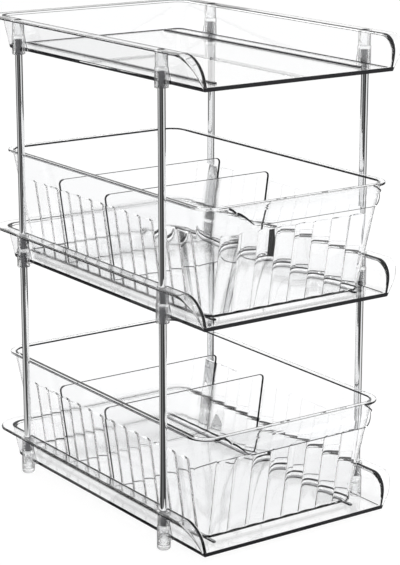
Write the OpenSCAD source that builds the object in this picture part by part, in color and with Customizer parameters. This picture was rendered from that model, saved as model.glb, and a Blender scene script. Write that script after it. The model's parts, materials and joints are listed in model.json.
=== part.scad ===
// Three-tier organizer for the cupboard under a sink: three clear trays on chrome rods,
// two clear bins that slide out like drawers, and two lift-out dividers in each bin.
// X runs left to right, the open front faces -Y, Z is up and the feet stand at Z = 0.

/* [Frame] */
// Height from one tray's rim to the next
tier_pitch = 180; // [165:1:230]
// Diameter of the chrome rods
rod_d = 6; // [5:0.5:7]
// Clearance round a rod or a foot plug in its socket, on the radius
rod_fit = 0.08; // [0.05:0.01:0.2]
// Chamfer on the rod ends
rod_chamfer = 0.6; // [0.2:0.1:1]

/* [Tray] */
// Width of a tray over its rims
tray_w = 208; // [205:1:300]
// Depth of a tray from its open front to the back rim
tray_d = 305; // [285:1:420]
// Height of a tray from its underside to its rim
tray_h = 27; // [24:1:34]
// Thickness of the tray walls
tray_wall = 2.2; // [1.8:0.1:2.8]
// Thickness of the tray floor
tray_floor = 2.4; // [1.8:0.1:3]
// Width of the flat rim, from its outer edge to the wall's inner face
rim_w = 12; // [12:0.1:14]
// Thickness of the flat rim
rim_t = 1.8; // [1.4:0.1:2.4]
// Lean of the tray walls, in degrees
tray_draft = 12; // [8:0.5:13]
// Corner radius of the rim at the back
tray_corner = 24; // [22:1:32]
// Radius of the sweep that brings each side wall down at the front
front_sweep = 18; // [12:1:20]
// Height of the bead along the front edge, above the tray floor
bead_h = 0.8; // [0.4:0.1:1]
// Depth of that bead from front to back
bead_w = 2.6; // [2:0.1:4]

/* [Rails] */
// Height of the two rails that a bin slides on
rail_h = 1.2; // [1:0.1:2]
// Width of a rail
rail_w = 3; // [2:0.1:5]
// Distance from a rail to the side of the bin's flat floor
rail_inset = 3.5; // [3:0.1:8]
// Distance from the tray's front edge to the rails
rail_front = 15; // [10:1:40]
// Distance from the rails' back end to the tray's back rim
rail_back = 20; // [19:1:40]
// Running gap between a rail and the bin
run_gap = 0.2; // [0.1:0.05:0.3]

/* [Sockets] */
// Distance from a rod's axis to the outer edge of the side rim
socket_side = 7; // [6.5:0.1:7]
// Distance from the front rods to the tray's front edge
socket_front = 44; // [36:1:60]
// Distance from the back rods to the back rim
socket_back = 51; // [30:1:70]
// Outer diameter of a socket above its web
socket_d = 9.8; // [9.6:0.1:9.9]
// Outer diameter of the sleeve below the web
sleeve_d = 10.8; // [10:0.1:11.4]
// Depth of the upper hole
socket_depth = 13; // [10:0.5:14]
// Thickness of the web between the two holes
web_t = 3; // [2:0.5:4]
// Depth of the lower hole
sleeve_depth = 12.4; // [11:0.2:16]
// Thickness of the gusset that ties a socket to the wall
gusset_t = 1.6; // [1:0.1:2.4]

/* [Feet] */
// Height of a foot below its sleeve
foot_h = 4.2; // [3:0.1:8]
// Radius of the rounding under a foot
foot_round = 2; // [1:0.1:2.5]
// Length of the plug that holds a foot in its sleeve
foot_plug = 9; // [6:0.5:10]

/* [Bin] */
// Width of a bin over its rim
bin_w = 182; // [170:1:184]
// Length of a bin over its rim, without the pull
bin_d = 302; // [290:1:302.5]
// Height of a bin from its underside to its rim
bin_h = 89.4; // [70:0.1:110]
// Thickness of the bin walls
bin_wall = 1.8; // [1.4:0.1:2.4]
// Thickness of the bin floor
bin_floor = 2; // [1.6:0.1:3]
// Reach of the bin's rim beyond its wall
lip_w = 3.5; // [2:0.1:5]
// Thickness of the bin's rim
lip_t = 2; // [1.4:0.1:3]
// Corner radius of the bin's rim
bin_corner = 18; // [16:1:26]
// Corner radius of the bin's floor
floor_corner = 11; // [8:1:16]
// Inset of the floor from the wall's top, at the sides
side_taper = 12.5; // [8:0.5:14]
// Inset of the floor from the wall's top, at the front and back
end_taper = 14.6; // [13:0.1:18]
// Rounding where the walls meet the floor
heel = 3; // [2:0.1:4]
// Distance that a shut bin stands in front of the tray's front edge
bin_proud = -2; // [-2:0.1:6]
// Distance that the middle bin stands open
middle_open = 4.6; // [0:0.1:40]

/* [Reeds] */
// Pitch of the upright reeds, and of the grooves between them
reed_pitch = 17.6; // [14:0.1:22]
// Height of a reed above the wall
reed_rise = 2.6; // [2:0.1:3.5]
// Height of the grooves' bottoms above the wall
reed_base = 0.3; // [0.2:0.1:0.6]
// Height of the reeded band above the bin's underside
reed_top = 66; // [40:0.5:66]
// Number of reeds on a side wall
side_reeds = 14; // [10:2:14]
// Number of reeds on the front and back walls
end_reeds = 8; // [4:2:8]

/* [Pull] */
// Half the width of the pull where it leaves the rim
pull_top = 69; // [60:1:74]
// Half the width of the pull at its lower edge
pull_bottom = 55; // [45:1:64]
// Reach of the pull in front of the rim
pull_reach = 17.7; // [12:0.1:24]
// Drop of the pull below the rim
pull_drop = 12.3; // [8:0.1:20]
// Thickness of the pull
pull_t = 2; // [1.6:0.1:2.6]

/* [Dividers] */
// Thickness of a divider
divider_t = 1.6; // [1:0.1:2]
// Distance from a bin's rim down to a divider's top edge
divider_below = 15.6; // [12:0.1:32]
// Radius of a divider's top corners
divider_round = 4.5; // [3:0.5:12]
// Clearance between a divider's edge and the bottom of its groove
divider_gap = 1; // [0.8:0.05:1.3]
// Clearance between a divider and the bin floor
divider_lift = 0.3; // [0.2:0.05:1]
// Groove that holds the front divider, counted from the bin's middle
front_groove = 0; // [-4:1:0]
// Groove that holds the rear divider, counted from the bin's middle
rear_groove = 4; // [2:1:4]

/* [Hidden] */

$fn = 48;
clear_plastic = [0.90, 0.92, 0.94, 0.35];
chrome = [0.78, 0.80, 0.82];
// Overlap that fuses two forms of one moulding, and overshoot of a cut
fuse = 0.4;
cut = 1;
// Facets along a bin's corner and along its heel, and steps along the pull's curves
arc_steps = 8;
heel_steps = 3;
pull_steps = 12;

// Heights of the rims, from the ground up
socket_len = socket_depth + web_t + sleeve_depth;
bottom_z = socket_len + foot_h;
middle_z = bottom_z + tier_pitch;
top_z = middle_z + tier_pitch;

// Plan: the origin is the middle of everything that stands on the ground plan
bin_front = -bin_proud;
plan_front = min(0, bin_front - middle_open - pull_reach);
tray_front = -(plan_front + tray_d) / 2;
tray_back = tray_front + tray_d;
rod_x = tray_w / 2 - socket_side;
rod_front_y = tray_front + socket_front;
rod_back_y = tray_back - socket_back;
rod_len = tier_pitch - web_t;

// Tray section: distances run inwards from the rim's outer edge
wall_run = tray_h * tan(tray_draft);
wall_s = tray_wall / cos(tray_draft);
heel_s = rim_w + wall_run - wall_s;
rail_top_z = -tray_h + tray_floor + rail_h;

// Bin section: heights run up from the bin's underside
bin_z = rail_top_z + run_gap;
bin_y = tray_front + bin_front;
wall_top_w = bin_w - 2 * lip_w;
wall_top_d = bin_d - 2 * lip_w;
floor_w = wall_top_w - 2 * side_taper;
floor_d = wall_top_d - 2 * end_taper;
wall_corner = bin_corner - lip_w;
side_lean = atan(side_taper / bin_h);
end_lean = atan(end_taper / bin_h);
reed_back = reed_rise - reed_base;
reed_r = (reed_pitch * reed_pitch / 4 + reed_back * reed_back) / (2 * reed_back);
divider_top = bin_h - divider_below;
divider_bottom = bin_floor + divider_lift;
rail_x = floor_w / 2 - heel - rail_inset;

// One closed outline of a rectangle with round corners, at height z
function outline(w, d, r, z) = [
    for (c = [[1, 1, 0], [-1, 1, 90], [-1, -1, 180], [1, -1, 270]], i = [0:arc_steps])
        let (a = c[2] + 90 * i / arc_steps)
        [c[0] * (w / 2 - r) + r * cos(a), c[1] * (d / 2 - r) + r * sin(a), z]
];

// Outline of a bin wall at height h, moved inwards by inset
function bin_outline(h, inset) =
    let (t = h / bin_h)
    outline(
        floor_w + 2 * side_taper * t - 2 * inset,
        floor_d + 2 * end_taper * t - 2 * inset,
        floor_corner + (wall_corner - floor_corner) * t - inset,
        h
    );

// Closed solid through a stack of outlines with equal numbers of points
module loft(rings) {
    n = len(rings[0]);
    last = (len(rings) - 1) * n;
    polyhedron(
        points = [for (r = rings, p = r) p],
        faces = concat(
            [[for (i = [0:n - 1]) i]],
            [
                for (k = [0:len(rings) - 2], i = [0:n - 1])
                    let (j = (i + 1) % n, a = k * n, b = a + n)
                    [a + i, b + i, b + j, a + j]
            ],
            [[for (i = [n - 1:-1:0]) last + i]]
        ),
        convexity = 6
    );
}

// Rectangle with round corners, drawn about its middle
module rounded_plan(w, d, r) {
    square([w - 2 * r, d], center = true);
    square([w, d - 2 * r], center = true);
    for (x = [-1, 1], y = [-1, 1])
        translate([x * (w / 2 - r), y * (d / 2 - r)]) circle(r);
}

// Section of a tray wall with its rim: x is the distance inwards, y the height from the rim
module wall_section() {
    polygon([
        [0, 0],
        [rim_w, 0],
        [rim_w + wall_run, -tray_h],
        [heel_s, -tray_h],
        [rim_w - wall_s + rim_t * tan(tray_draft), -rim_t],
        [0, -rim_t]
    ]);
}

// Lays a section out along Y on the left side, from y0 to y1
module along_left(y0, y1) {
    translate([-tray_w / 2, y1, 0])
        rotate([90, 0, 0])
            linear_extrude(y1 - y0) children();
}

// Left wall with its rim, ended at the front by the sweep
module side_wall() {
    sweep_y = tray_front + front_sweep;
    difference() {
        along_left(tray_front, tray_back - tray_corner) wall_section();
        translate([-tray_w / 2 - cut, sweep_y, 0])
            rotate([90, 0, 90])
                linear_extrude(rim_w + wall_run + 2 * cut)
                    difference() {
                        translate([-front_sweep - cut, -front_sweep])
                            square([front_sweep + cut, front_sweep + cut]);
                        translate([0, -front_sweep]) circle(front_sweep, $fn = 96);
                    }
    }
    // The rim follows the sweep down and narrows to nothing at the floor
    intersection() {
        translate([-tray_w / 2, sweep_y, 0])
            rotate([90, 0, 90])
                linear_extrude(rim_w + wall_run) rim_sweep();
        along_left(tray_front - cut, sweep_y + cut)
            polygon([
                [0, cut], [0, 0], [heel_s, -tray_h],
                [rim_w + wall_run, -tray_h], [rim_w, 0], [rim_w, cut]
            ]);
    }
}

// Side view of the swept rim: a quarter round, then straight down to the floor
module rim_sweep() {
    intersection() {
        translate([0, -front_sweep])
            difference() {
                circle(front_sweep, $fn = 96);
                circle(front_sweep - rim_t, $fn = 96);
            }
        translate([-front_sweep, -front_sweep]) square(front_sweep);
    }
    translate([-front_sweep, -tray_h]) square([rim_t, tray_h - front_sweep + fuse / 4]);
}

// Back corner with its rim, on the left
module back_corner() {
    translate([-tray_w / 2 + tray_corner, tray_back - tray_corner, 0])
        rotate([0, 0, 90])
            rotate_extrude(angle = 90, $fn = 96)
                translate([tray_corner, 0]) mirror([1, 0]) wall_section();
}

// Both side walls, both back corners and the back wall
module tray_walls() {
    for (side = [0, 1])
        mirror([side, 0, 0]) {
            side_wall();
            back_corner();
        }
    back_len = tray_w - 2 * tray_corner;
    translate([back_len / 2, tray_back, 0])
        rotate([0, 0, -90])
            rotate([90, 0, 0])
                linear_extrude(back_len) wall_section();
}

// Flat floor with the bead along its front edge
module tray_floor_plate() {
    inset = heel_s + tray_wall / 2;
    w = tray_w - 2 * inset;
    r = tray_corner - inset;
    intersection() {
        translate([0, tray_front + tray_d / 2 - inset, -tray_h])
            linear_extrude(tray_floor) rounded_plan(w, tray_d, r);
        translate([-w / 2, tray_front, -tray_h - cut]) cube([w, tray_d, tray_h]);
    }
    translate([-w / 2, tray_front, -tray_h]) cube([w, bead_w, tray_floor + bead_h]);
}

// One low rail with round ends
module rail() {
    y0 = tray_front + rail_front + rail_w / 2;
    y1 = tray_back - rail_back - rail_w / 2;
    translate([0, 0, -tray_h + tray_floor - fuse])
        linear_extrude(rail_h + fuse) {
            translate([-rail_w / 2, y0]) square([rail_w, y1 - y0]);
            for (y = [y0, y1])
                translate([0, y]) circle(rail_w / 2);
        }
}

// Outside of one socket, its sleeve and its gusset, on the left
module socket_body(y) {
    translate([-rod_x, y, -socket_depth - web_t]) cylinder(d = socket_d, h = socket_depth + web_t);
    translate([-rod_x, y, -socket_len]) cylinder(d = sleeve_d, h = sleeve_depth + web_t);
    translate([-tray_w / 2, y + gusset_t / 2, 0])
        rotate([90, 0, 0])
            linear_extrude(gusset_t)
                polygon([
                    [socket_side, -rim_t / 2],
                    [rim_w - wall_s / 2, -rim_t / 2],
                    [rim_w + wall_run - wall_s / 2, -tray_h],
                    [socket_side, -tray_h]
                ]);
}

// The two holes of one socket, on the left
module socket_holes(y) {
    hole_d = rod_d + 2 * rod_fit;
    translate([-rod_x, y, -socket_depth]) cylinder(d = hole_d, h = socket_depth + cut);
    translate([-rod_x, y, -socket_len - cut]) cylinder(d = hole_d, h = sleeve_depth + cut);
}

// One tray, with its rim at height z
module tray(z) {
    translate([0, 0, z])
        difference() {
            union() {
                tray_walls();
                tray_floor_plate();
                for (x = [-rail_x, rail_x])
                    translate([x, 0, 0]) rail();
                for (side = [0, 1], y = [rod_front_y, rod_back_y])
                    mirror([side, 0, 0]) socket_body(y);
            }
            for (side = [0, 1], y = [rod_front_y, rod_back_y])
                mirror([side, 0, 0]) socket_holes(y);
        }
}

// One rod between the webs of two sockets, standing on the tray whose rim is at z
module rod(x, y, z) {
    translate([x, y, z - socket_depth]) {
        translate([0, 0, rod_chamfer]) cylinder(d = rod_d, h = rod_len - 2 * rod_chamfer);
        cylinder(d1 = rod_d - 2 * rod_chamfer, d2 = rod_d, h = rod_chamfer);
        translate([0, 0, rod_len - rod_chamfer])
            cylinder(d1 = rod_d, d2 = rod_d - 2 * rod_chamfer, h = rod_chamfer);
    }
}

// One foot: a round-edged disc with a plug that pushes up into the sleeve
module foot(x, y) {
    translate([x, y, 0])
        rotate_extrude($fn = 64) {
            translate([0, foot_round]) square([sleeve_d / 2, foot_h - foot_round]);
            square([sleeve_d / 2 - foot_round, foot_h]);
            translate([sleeve_d / 2 - foot_round, foot_round])
                intersection() {
                    circle(foot_round);
                    translate([0, -foot_round]) square(foot_round);
                }
            square([rod_d / 2, foot_h + foot_plug]);
        }
}

// Section of a row of reeds: round backs that meet in sharp grooves, rooted in the wall
module reed_row(count) {
    root = bin_wall / 2;
    half = count * reed_pitch / 2;
    for (i = [0:count - 1])
        translate([(i + 0.5) * reed_pitch - half, 0])
            intersection() {
                translate([0, reed_rise - reed_r]) circle(reed_r, $fn = 120);
                translate([-reed_pitch / 2, -root]) square([reed_pitch, root + reed_rise]);
            }
    translate([-half, -root]) square([2 * half, root + reed_base]);
}

// A row of reeds that leans with its wall, whose outer face is at half from the middle
module reed_band(count, half, lean) {
    translate([0, -(half - bin_wall), 0])
        rotate([lean, 0, 0])
            linear_extrude(reed_top / cos(lean)) reed_row(count);
}

// All four rows, trimmed to the height above the floor
module reeds() {
    intersection() {
        union()
            for (turn = [0, 180])
                rotate([0, 0, turn]) {
                    reed_band(end_reeds, floor_d / 2, end_lean);
                    rotate([0, 0, 90]) reed_band(side_reeds, floor_w / 2, side_lean);
                }
        translate([-bin_w / 2, -bin_d / 2, bin_floor / 2]) cube([bin_w, bin_d, bin_h]);
    }
}

// Curved pull lip in front of the rim, with its lower edge free; y = 0 is the rim's front
module pull() {
    intersection() {
        translate([-pull_top, 0, bin_h])
            rotate([90, 0, 90])
                linear_extrude(2 * pull_top) pull_section();
        translate([0, fuse + lip_w / 2, bin_h])
            rotate([90, 0, 0])
                linear_extrude(pull_reach + lip_w + 2 * fuse) pull_front();
    }
}

// Section of the pull: from the rim it bulges forwards and down
module pull_section() {
    function arc(a, b) = [
        for (i = [0:pull_steps])
            let (t = 90 * i / pull_steps)
            [-a * sin(t), -pull_drop + b * cos(t)]
    ];
    function back_arc(a, b) = [
        for (i = [pull_steps:-1:0])
            let (t = 90 * i / pull_steps)
            [-a * sin(t), -pull_drop + b * cos(t)]
    ];
    polygon(concat(
        [[lip_w / 2, 0]],
        arc(pull_reach, pull_drop),
        back_arc(pull_reach - pull_t, pull_drop - pull_t),
        [[lip_w / 2, -pull_t]]
    ));
}

// Front view of the pull, whose ends fall in an S from the rim to the lower edge
module pull_front() {
    function ease(t) = t * t * (3 - 2 * t);
    function end_curve(side) = [
        for (i = [0:pull_steps])
            let (t = i / pull_steps)
            [side * (pull_top - (pull_top - pull_bottom) * t), -pull_drop * ease(t) - pull_t * (1 - t)]
    ];
    right = end_curve(1);
    left = end_curve(-1);
    polygon(concat(
        [[-pull_top, cut]],
        left,
        [for (i = [len(right) - 1:-1:0]) right[i]],
        [[pull_top, cut]]
    ));
}

// One bin, with its rim's front edge at y and its underside at z
module bin(y, z) {
    translate([0, y + bin_d / 2, z]) {
        difference() {
            union() {
                loft(concat(
                    [
                        for (i = [0:heel_steps])
                            let (a = 90 * i / heel_steps)
                            bin_outline(heel * (1 - cos(a)), heel * (1 - sin(a)))
                    ],
                    [bin_outline(bin_h, 0)]
                ));
                translate([0, 0, bin_h - lip_t])
                    linear_extrude(lip_t) rounded_plan(bin_w, bin_d, bin_corner);
            }
            loft([bin_outline(bin_floor, bin_wall), bin_outline(bin_h + cut, bin_wall)]);
        }
        reeds();
        translate([0, -bin_d / 2, 0]) pull();
    }
}

// One divider, standing in a pair of grooves of the bin at y and z
module divider(groove, y, z) {
    // Half the distance between the bottoms of the two grooves, at height h
    function groove_half(h) =
        floor_w / 2 + side_taper * h / bin_h - bin_wall - reed_base / cos(side_lean) - divider_gap;
    low = groove_half(divider_bottom);
    high = groove_half(divider_top);
    translate([0, y + bin_d / 2 + groove * reed_pitch + divider_t / 2, z])
        rotate([90, 0, 0])
            linear_extrude(divider_t)
                intersection() {
                    polygon([
                        [-low, divider_bottom], [low, divider_bottom],
                        [high, divider_top], [-high, divider_top]
                    ]);
                    union() {
                        translate([-high, 0]) square([2 * high, divider_top - divider_round]);
                        translate([-high + divider_round, 0])
                            square([2 * (high - divider_round), divider_top]);
                        for (x = [-1, 1])
                            translate([x * (high - divider_round), divider_top - divider_round])
                                circle(divider_round);
                    }
                }
}

middle_bin_y = bin_y - middle_open;
middle_bin_z = middle_z + bin_z;
bottom_bin_z = bottom_z + bin_z;

module top_tray() color(clear_plastic) tray(top_z);
module middle_tray() color(clear_plastic) tray(middle_z);
module bottom_tray() color(clear_plastic) tray(bottom_z);
module upper_rod(x, y) color(chrome) rod(x, y, middle_z);
module lower_rod(x, y) color(chrome) rod(x, y, bottom_z);
module clear_foot(x, y) color(clear_plastic) foot(x, y);
module middle_bin() color(clear_plastic) bin(middle_bin_y, middle_bin_z);
module bottom_bin() color(clear_plastic) bin(bin_y, bottom_bin_z);
module middle_divider(groove) color(clear_plastic) divider(groove, middle_bin_y, middle_bin_z);
module bottom_divider(groove) color(clear_plastic) divider(groove, bin_y, bottom_bin_z);

top_tray();
middle_tray();
bottom_tray();
upper_rod(-rod_x, rod_front_y);  // upper_rod_front_left
upper_rod(rod_x, rod_front_y);  // upper_rod_front_right
upper_rod(-rod_x, rod_back_y);  // upper_rod_back_left
upper_rod(rod_x, rod_back_y);  // upper_rod_back_right
lower_rod(-rod_x, rod_front_y);  // lower_rod_front_left
lower_rod(rod_x, rod_front_y);  // lower_rod_front_right
lower_rod(-rod_x, rod_back_y);  // lower_rod_back_left
lower_rod(rod_x, rod_back_y);  // lower_rod_back_right
clear_foot(-rod_x, rod_front_y);  // foot_front_left
clear_foot(rod_x, rod_front_y);  // foot_front_right
clear_foot(-rod_x, rod_back_y);  // foot_back_left
clear_foot(rod_x, rod_back_y);  // foot_back_right
middle_bin();
bottom_bin();
middle_divider(front_groove);  // middle_divider_front
middle_divider(rear_groove);  // middle_divider_rear
bottom_divider(front_groove);  // bottom_divider_front
bottom_divider(rear_groove);  // bottom_divider_rear
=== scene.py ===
"""Looks of a three-tier organizer for the cupboard under a sink.

Clear plastic trays stand on chrome rods, two reeded clear bins slide out of them, and clear dividers stand in the
bins. Every piece is modelled here in metres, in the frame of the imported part, and stands for the node of its name.
"""

import json
import logging
from collections.abc import Callable, Sequence
from dataclasses import dataclass, field
from enum import Enum
from math import acos, atan, cos, pi, radians, sin, tan

import bmesh
import bpy
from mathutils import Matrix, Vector


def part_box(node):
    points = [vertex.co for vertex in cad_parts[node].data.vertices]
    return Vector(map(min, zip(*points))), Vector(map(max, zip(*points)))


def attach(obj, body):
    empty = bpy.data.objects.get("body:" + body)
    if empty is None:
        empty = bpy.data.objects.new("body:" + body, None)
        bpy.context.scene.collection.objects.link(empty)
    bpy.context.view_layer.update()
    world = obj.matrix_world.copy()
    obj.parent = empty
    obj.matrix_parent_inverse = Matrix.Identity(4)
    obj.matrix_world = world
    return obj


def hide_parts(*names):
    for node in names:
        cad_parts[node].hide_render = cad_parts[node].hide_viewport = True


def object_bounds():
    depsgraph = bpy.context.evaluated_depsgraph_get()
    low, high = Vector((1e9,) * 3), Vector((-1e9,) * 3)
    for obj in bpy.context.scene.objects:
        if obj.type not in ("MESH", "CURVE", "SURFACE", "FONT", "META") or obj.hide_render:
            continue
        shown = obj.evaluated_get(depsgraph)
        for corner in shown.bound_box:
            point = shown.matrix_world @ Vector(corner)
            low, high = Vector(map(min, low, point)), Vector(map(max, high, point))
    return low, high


logging.basicConfig(level=logging.INFO, format="%(message)s")
log = logging.getLogger("organizer")

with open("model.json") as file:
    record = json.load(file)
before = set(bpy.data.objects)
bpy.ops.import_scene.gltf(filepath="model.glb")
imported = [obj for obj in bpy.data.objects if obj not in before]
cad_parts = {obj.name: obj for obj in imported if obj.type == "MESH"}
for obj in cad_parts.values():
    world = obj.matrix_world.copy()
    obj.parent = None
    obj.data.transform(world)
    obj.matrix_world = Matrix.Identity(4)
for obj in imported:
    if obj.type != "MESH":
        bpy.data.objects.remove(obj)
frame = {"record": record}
CAD_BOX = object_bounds()

Place = tuple[float, float, float]
Test = Callable[[Vector, Vector], bool]

X_AXIS = (1.0, 0.0, 0.0)
Y_AXIS = (0.0, 1.0, 0.0)
Z_AXIS = (0.0, 0.0, 1.0)

# Distance within which two places count as one
NEAR = 1e-5
# Overlap of two forms that are fused
FUSE = 0.0004
# Step that keeps two rings of one flat face apart, so that they bridge in order
FLAT_STEP = 0.00003
# Angle above which an edge stays sharp in the shading
SHARP = radians(28)


class Join(Enum):
    """How a tool shape changes the piece that it meets."""

    FUSE = "UNION"
    CUT = "DIFFERENCE"


class Side(Enum):
    """Left and right, as the sign of X."""

    LEFT = -1
    RIGHT = 1


class End(Enum):
    """Front and back rods, by the word in their nodes' names."""

    FRONT = "front"
    BACK = "back"


def deselect() -> None:
    """Leaves nothing selected in object mode."""
    bpy.ops.object.select_all(action="DESELECT")


def activate(obj: bpy.types.Object) -> None:
    """Selects one object alone and makes it the active one."""
    deselect()
    obj.select_set(True)
    bpy.context.view_layer.objects.active = obj


def edit(obj: bpy.types.Object) -> None:
    """Opens one object in edit mode with all of it selected."""
    activate(obj)
    bpy.ops.object.mode_set(mode="EDIT")
    bpy.ops.mesh.select_all(action="SELECT")


def leave() -> None:
    """Goes back to object mode."""
    bpy.ops.object.mode_set(mode="OBJECT")


def pick_faces(obj: bpy.types.Object, test: Test) -> int:
    """Selects the faces of the mesh in edit mode that pass a test, and no others.

    Args:
        obj: the object in edit mode.
        test: takes a face's centre and its normal.

    Returns:
        How many faces are selected.
    """
    bpy.ops.mesh.select_mode(type="FACE")
    bpy.ops.mesh.select_all(action="DESELECT")
    mesh = bmesh.from_edit_mesh(obj.data)
    count = 0
    for face in mesh.faces:
        if test(face.calc_center_median(), face.normal):
            face.select_set(True)
            count += 1
    bmesh.update_edit_mesh(obj.data)
    return count


def pick_edges(obj: bpy.types.Object, test: Test) -> int:
    """Selects the edges of the mesh in edit mode that pass a test, and no others.

    Args:
        obj: the object in edit mode.
        test: takes an edge's middle and its direction, of length one.

    Returns:
        How many edges are selected.
    """
    bpy.ops.mesh.select_mode(type="EDGE")
    bpy.ops.mesh.select_all(action="DESELECT")
    mesh = bmesh.from_edit_mesh(obj.data)
    count = 0
    for edge in mesh.edges:
        a, b = (v.co for v in edge.verts)
        if test((a + b) / 2, (b - a).normalized()):
            edge.select_set(True)
            count += 1
    bmesh.update_edit_mesh(obj.data)
    return count


def pick_points(obj: bpy.types.Object, test: Callable[[Vector], bool]) -> int:
    """Selects the points of the mesh in edit mode that pass a test, and no others."""
    bpy.ops.mesh.select_mode(type="VERT")
    bpy.ops.mesh.select_all(action="DESELECT")
    mesh = bmesh.from_edit_mesh(obj.data)
    count = 0
    for point in mesh.verts:
        if test(point.co):
            point.select_set(True)
            count += 1
    mesh.select_flush(True)
    bmesh.update_edit_mesh(obj.data)
    return count


def push(value: Place) -> None:
    """Extrudes what is selected and moves it by value."""
    bpy.ops.mesh.extrude_region_move(TRANSFORM_OT_translate={"value": value})


def shift(value: Place) -> None:
    """Moves what is selected by value."""
    bpy.ops.transform.translate(value=value)


def block(name: str, low: Place, high: Place) -> bpy.types.Object:
    """Adds a box between two corners, ready to be shaped.

    Args:
        name: the object's name.
        low: its lowest corner.
        high: its highest corner.

    Returns:
        The box, with its place in its mesh.
    """
    middle = [(a + b) / 2 for a, b in zip(low, high)]
    deselect()
    bpy.ops.mesh.primitive_cube_add(size=1.0, location=middle)
    obj = bpy.context.object
    obj.name = name
    obj.scale = [b - a for a, b in zip(low, high)]
    bpy.ops.object.transform_apply(location=True, rotation=True, scale=True)
    return obj


def bar(name: str, radius: float, base: Place, height: float, sides: int = 64) -> bpy.types.Object:
    """Adds an upright round bar.

    Args:
        name: the object's name.
        radius: its radius.
        base: the middle of its lower end.
        height: its length.
        sides: how many flats its round side has.

    Returns:
        The bar, with its place in its mesh.
    """
    deselect()
    place = (base[0], base[1], base[2] + height / 2)
    bpy.ops.mesh.primitive_cylinder_add(vertices=sides, radius=radius, depth=height, location=place)
    obj = bpy.context.object
    obj.name = name
    bpy.ops.object.transform_apply(location=True, rotation=True, scale=True)
    return obj


def soften(obj: bpy.types.Object, test: Test, offset: float, segments: int = 3) -> None:
    """Rounds the edges that pass a test.

    Args:
        obj: the object, in object mode.
        test: takes an edge's middle and its direction.
        offset: the rounding's reach from the edge.
        segments: how many faces the rounding has.
    """
    edit(obj)
    if pick_edges(obj, test):
        bpy.ops.mesh.bevel(offset=offset, offset_type="OFFSET", segments=segments, affect="EDGES")
    leave()


def combine(target: bpy.types.Object, tool: bpy.types.Object, how: Join) -> None:
    """Fuses a tool shape to a piece or cuts it out, and removes the tool.

    Args:
        target: the piece that stays.
        tool: the shape that is used up.
        how: fuse or cut.
    """
    activate(target)
    change = target.modifiers.new(how.name, "BOOLEAN")
    change.operation = how.value
    change.object = tool
    change.solver = "EXACT"
    bpy.ops.object.modifier_apply(modifier=change.name)
    bpy.data.objects.remove(tool, do_unlink=True)


def mirror(obj: bpy.types.Object) -> None:
    """Cuts a piece at the middle plane and mirrors its left half to the right."""
    edit(obj)
    bpy.ops.mesh.bisect(plane_co=(0, 0, 0), plane_no=X_AXIS, clear_outer=True, use_fill=False, threshold=NEAR)
    leave()
    half = obj.modifiers.new("mirror", "MIRROR")
    half.use_axis = (True, False, False)
    half.use_mirror_merge = True
    half.merge_threshold = NEAR
    bpy.ops.object.modifier_apply(modifier=half.name)


def smooth(obj: bpy.types.Object) -> None:
    """Merges doubled points and shades the piece smooth up to the sharp angle."""
    edit(obj)
    bpy.ops.mesh.remove_doubles(threshold=NEAR / 2)
    bpy.ops.mesh.normals_make_consistent(inside=False)
    leave()
    bpy.ops.object.shade_smooth_by_angle(angle=SHARP)


def copy_to(model: bpy.types.Object, name: str, place: Place) -> bpy.types.Object:
    """Copies a modelled piece, with a mesh of its own, and moves the copy's mesh.

    Args:
        model: the piece to copy.
        name: the copy's name.
        place: how far the copy's mesh moves.

    Returns:
        The copy, sitting at the origin.
    """
    activate(model)
    bpy.ops.object.duplicate(linked=False)
    piece = bpy.context.object
    piece.name = name
    piece.data.name = name
    piece.location = place
    bpy.ops.object.transform_apply(location=True, rotation=False, scale=False)
    return piece


def discard(obj: bpy.types.Object) -> None:
    """Removes a model once its copies are made."""
    bpy.data.objects.remove(obj, do_unlink=True)


def size_of(node: str) -> tuple[Vector, Vector]:
    """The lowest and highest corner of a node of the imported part."""
    low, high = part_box(node)
    return Vector(low), Vector(high)


def body_of(node: str) -> str:
    """The name of the body that holds a node."""
    for body, nodes in frame["record"]["behaviour"]["bodies"].items():
        if node in nodes:
            return body
    return "root"


def stand_in(piece: bpy.types.Object, node: str) -> None:
    """Lets a piece stand for a node and move with the node's body.

    Args:
        piece: the finished piece.
        node: the node that it stands for.
    """
    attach(piece, body_of(node))
    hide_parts(node)
    log.info("%s: %d faces", piece.name, len(piece.data.polygons))


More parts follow.
